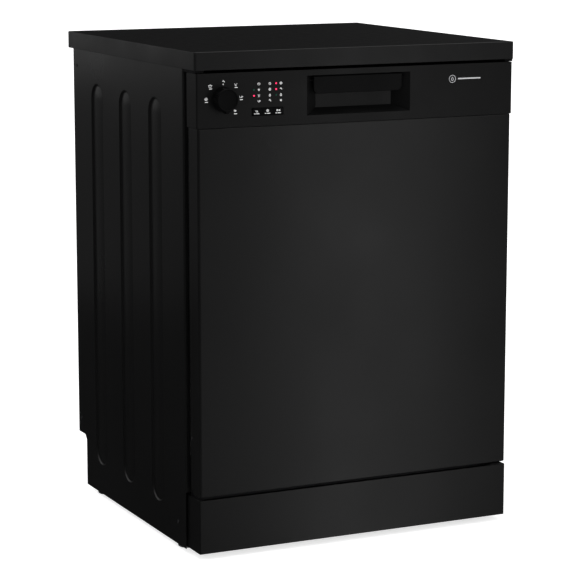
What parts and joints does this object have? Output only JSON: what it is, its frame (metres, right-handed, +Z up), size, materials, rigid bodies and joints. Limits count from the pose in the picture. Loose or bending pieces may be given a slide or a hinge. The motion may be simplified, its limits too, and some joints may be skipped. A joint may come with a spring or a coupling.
{
  "type": "dishwasher",
  "caption": "Free-standing dishwasher with a drop-down front door, hand pocket, dial, push keys, wire baskets and spray arms.",
  "frame": {"origin": "on the floor, at the middle of the overall width and depth", "axes": "+Z up, -Y out of the front of the door, +X to the right seen from the front"},
  "size_m": [0.598, 0.608, 0.85],
  "materials": {
    "worktop_laminate": "chipboard core under a fine-grained satin black laminate",
    "black_sheet": "satin black paint on pressed steel sheet",
    "black_panel": "satin black moulded plastic",
    "galvanised_sheet": "zinc-plated steel",
    "base_plastic": "dark moulded plastic",
    "stainless": "brushed stainless steel",
    "seal_rubber": "soft grey-black rubber",
    "grey_plastic": "light grey moulded polypropylene",
    "cap_plastic": "blue moulded plastic",
    "clear_plastic": "cloudy moulded plastic",
    "pump_metal": "cast housing",
    "white_plastic": "white moulded nylon",
    "gland_rubber": "black rubber",
    "knob_plastic": "black moulded plastic with a finely turned face",
    "key_gloss": "polished black plastic",
    "board": "green circuit board",
    "coated_wire": "grey nylon coating on steel wire",
    "runner_steel": "stainless steel section"
  },
  "bodies": {
    "cabinet": {"base_tray": "base_plastic", "cabinet_screws": "galvanised_sheet", "circulation_pump": "pump_metal", "door_seal": "seal_rubber", "door_springs": "galvanised_sheet", "door_strike": "galvanised_sheet", "drain_outlet": "white_plastic", "drain_pump": "base_plastic", "flat_filter": "stainless", "hinge_brackets": "galvanised_sheet", "inlet_chamber": "clear_plastic", "inlet_valve": "white_plastic", "mains_gland": "gland_rubber", "plinth": "black_sheet", "rear_panel": "galvanised_sheet", "runner_guides": "grey_plastic", "side_panel_left": "black_sheet", "side_panel_right": "black_sheet", "softener": "base_plastic", "spray_feed": "grey_plastic", "sump": "base_plastic", "tub_back": "stainless", "tub_floor": "stainless", "tub_wrap": "stainless", "worktop": "worktop_laminate"},
    "door": {"outer_door_panel": "black_sheet", "inner_door_panel": "stainless", "control_panel": "black_panel", "latch_housing": "base_plastic", "control_board": "board", "key_bezel": "key_gloss", "dispenser_body": "grey_plastic", "hinge_arms": "galvanised_sheet", "door_screws": "galvanised_sheet"},
    "handle_lever": {"handle_lever": "black_panel"},
    "latch_hook": {"latch_hook": "base_plastic"},
    "selector_knob": {"selector_knob": "knob_plastic"},
    "key_1": {"key_1": "key_gloss"},
    "key_2": {"key_2": "key_gloss"},
    "key_3": {"key_3": "key_gloss"},
    "dispenser_lid": {"dispenser_lid": "grey_plastic"},
    "rinse_aid_cap": {"rinse_aid_cap": "cap_plastic"},
    "lower_rack": {"lower_basket": "coated_wire", "cutlery_basket": "grey_plastic"},
    "fold_tines": {"fold_tines": "coated_wire"},
    "front_wheels": {"front_wheels": "grey_plastic"},
    "rear_wheels": {"rear_wheels": "grey_plastic"},
    "runners": {"basket_runners": "runner_steel"},
    "upper_rack": {"upper_basket": "coated_wire", "upper_feed_tube": "grey_plastic"},
    "upper_spray_arm": {"upper_spray_arm": "grey_plastic"},
    "cup_shelf_left": {"cup_shelf_left": "coated_wire"},
    "cup_shelf_right": {"cup_shelf_right": "coated_wire"},
    "lower_spray_arm": {"lower_spray_arm": "grey_plastic"},
    "filter_cylinder": {"filter_cylinder": "grey_plastic"},
    "salt_cap": {"salt_cap": "cap_plastic"},
    "foot_front_left": {"foot_front_left": "base_plastic"},
    "foot_front_right": {"foot_front_right": "base_plastic"},
    "foot_rear_left": {"foot_rear_left": "base_plastic"},
    "foot_rear_right": {"foot_rear_right": "base_plastic"}
  },
  "joints": [
    {"name": "door_hinge", "type": "hinge", "parent": "cabinet", "child": "door", "pos_m": [0, -0.271, 0.138], "axis": [1, 0, 0], "range_deg": [0, 90], "stiffness_Nm_per_rad": 14},
    {"name": "lower_rack_slide", "type": "slide", "parent": "cabinet", "child": "lower_rack", "axis": [0, -1, 0], "range_m": [0, 0.1964]},
    {"name": "upper_rack_slide", "type": "slide", "parent": "cabinet", "child": "upper_rack", "axis": [0, -1, 0], "range_m": [0, 0.44]},
    {"name": "runner_slide", "type": "slide", "parent": "cabinet", "child": "runners", "axis": [0, -1, 0], "range_m": [0, 0.22]},
    {"name": "front_wheel_spin", "type": "hinge", "parent": "lower_rack", "child": "front_wheels", "pos_m": [0, -0.085, 0.203], "axis": [1, 0, 0], "range_deg": [-5, 640]},
    {"name": "rear_wheel_spin", "type": "hinge", "parent": "lower_rack", "child": "rear_wheels", "pos_m": [0, 0.165, 0.203], "axis": [1, 0, 0], "range_deg": [-5, 640]},
    {"name": "fold_tines_hinge", "type": "hinge", "parent": "lower_rack", "child": "fold_tines", "pos_m": [-0.01, 0, 0.224], "axis": [0, 1, 0], "range_deg": [0, 80]},
    {"name": "upper_arm_spin", "type": "hinge", "parent": "upper_rack", "child": "upper_spray_arm", "pos_m": [0, 0.022, 0.44], "axis": [0, 0, 1], "continuous": true},
    {"name": "cup_shelf_left_hinge", "type": "hinge", "parent": "upper_rack", "child": "cup_shelf_left", "pos_m": [-0.225, 0, 0.564], "axis": [0, -1, 0], "range_deg": [0, 80]},
    {"name": "cup_shelf_right_hinge", "type": "hinge", "parent": "upper_rack", "child": "cup_shelf_right", "pos_m": [0.225, 0, 0.564], "axis": [0, 1, 0], "range_deg": [0, 80]},
    {"name": "lower_arm_spin", "type": "hinge", "parent": "cabinet", "child": "lower_spray_arm", "pos_m": [0, 0.022, 0.195], "axis": [0, 0, 1], "continuous": true},
    {"name": "filter_turn", "type": "hinge", "parent": "cabinet", "child": "filter_cylinder", "pos_m": [0, -0.048, 0.14], "axis": [0, 0, 1], "range_deg": [0, 90]},
    {"name": "salt_cap_turn", "type": "hinge", "parent": "cabinet", "child": "salt_cap", "pos_m": [-0.15, -0.08, 0.165], "axis": [0, 0, 1], "range_deg": [0, 360]},
    {"name": "selector_knob_turn", "type": "hinge", "parent": "door", "child": "selector_knob", "pos_m": [-0.248, -0.29, 0.772], "axis": [0, -1, 0], "continuous": true},
    {"name": "handle_lever_pull", "type": "hinge", "parent": "door", "child": "handle_lever", "pos_m": [0, -0.2785, 0.797], "axis": [-1, 0, 0], "range_deg": [0, 12], "stiffness_Nm_per_rad": 1.5, "springref_deg": -8.59},
    {"name": "latch_hook_turn", "type": "hinge", "parent": "door", "child": "latch_hook", "pos_m": [0, -0.252, 0.792], "axis": [-1, 0, 0], "range_deg": [0, 11]},
    {"name": "dispenser_lid_slide", "type": "slide", "parent": "door", "child": "dispenser_lid", "axis": [0, 0, -1], "range_m": [0, 0.072]},
    {"name": "rinse_aid_cap_turn", "type": "hinge", "parent": "door", "child": "rinse_aid_cap", "pos_m": [0.042, -0.222, 0.45], "axis": [0, 1, 0], "range_deg": [0, 90]},
    {"name": "key_1_press", "type": "slide", "parent": "door", "child": "key_1", "axis": [0, 1, 0], "range_m": [0, 0.0012], "stiffness_N_per_m": 500, "springref_m": -0.001},
    {"name": "key_2_press", "type": "slide", "parent": "door", "child": "key_2", "axis": [0, 1, 0], "range_m": [0, 0.0012], "stiffness_N_per_m": 500, "springref_m": -0.001},
    {"name": "key_3_press", "type": "slide", "parent": "door", "child": "key_3", "axis": [0, 1, 0], "range_m": [0, 0.0012], "stiffness_N_per_m": 500, "springref_m": -0.001},
    {"name": "foot_front_left_turn", "type": "hinge", "parent": "cabinet", "child": "foot_front_left", "pos_m": [-0.275, -0.19, 0.02], "axis": [0, 0, 1], "continuous": true},
    {"name": "foot_front_right_turn", "type": "hinge", "parent": "cabinet", "child": "foot_front_right", "pos_m": [0.275, -0.19, 0.02], "axis": [0, 0, 1], "continuous": true},
    {"name": "foot_rear_left_turn", "type": "hinge", "parent": "cabinet", "child": "foot_rear_left", "pos_m": [-0.275, 0.192, 0.02], "axis": [0, 0, 1], "continuous": true},
    {"name": "foot_rear_right_turn", "type": "hinge", "parent": "cabinet", "child": "foot_rear_right", "pos_m": [0.275, 0.192, 0.02], "axis": [0, 0, 1], "continuous": true}
  ],
  "couplings": [
    {"joint": "lower_rack_slide", "follows": "door_hinge", "m_per_rad": 0.125},
    {"joint": "upper_rack_slide", "follows": "door_hinge", "m_per_rad": 0.28},
    {"joint": "runner_slide", "follows": "door_hinge", "m_per_rad": 0.14},
    {"joint": "front_wheel_spin", "follows": "door_hinge", "ratio": 7.0621},
    {"joint": "rear_wheel_spin", "follows": "door_hinge", "ratio": 7.0621},
    {"joint": "latch_hook_turn", "follows": "handle_lever_pull", "ratio": 0.9}
  ]
}
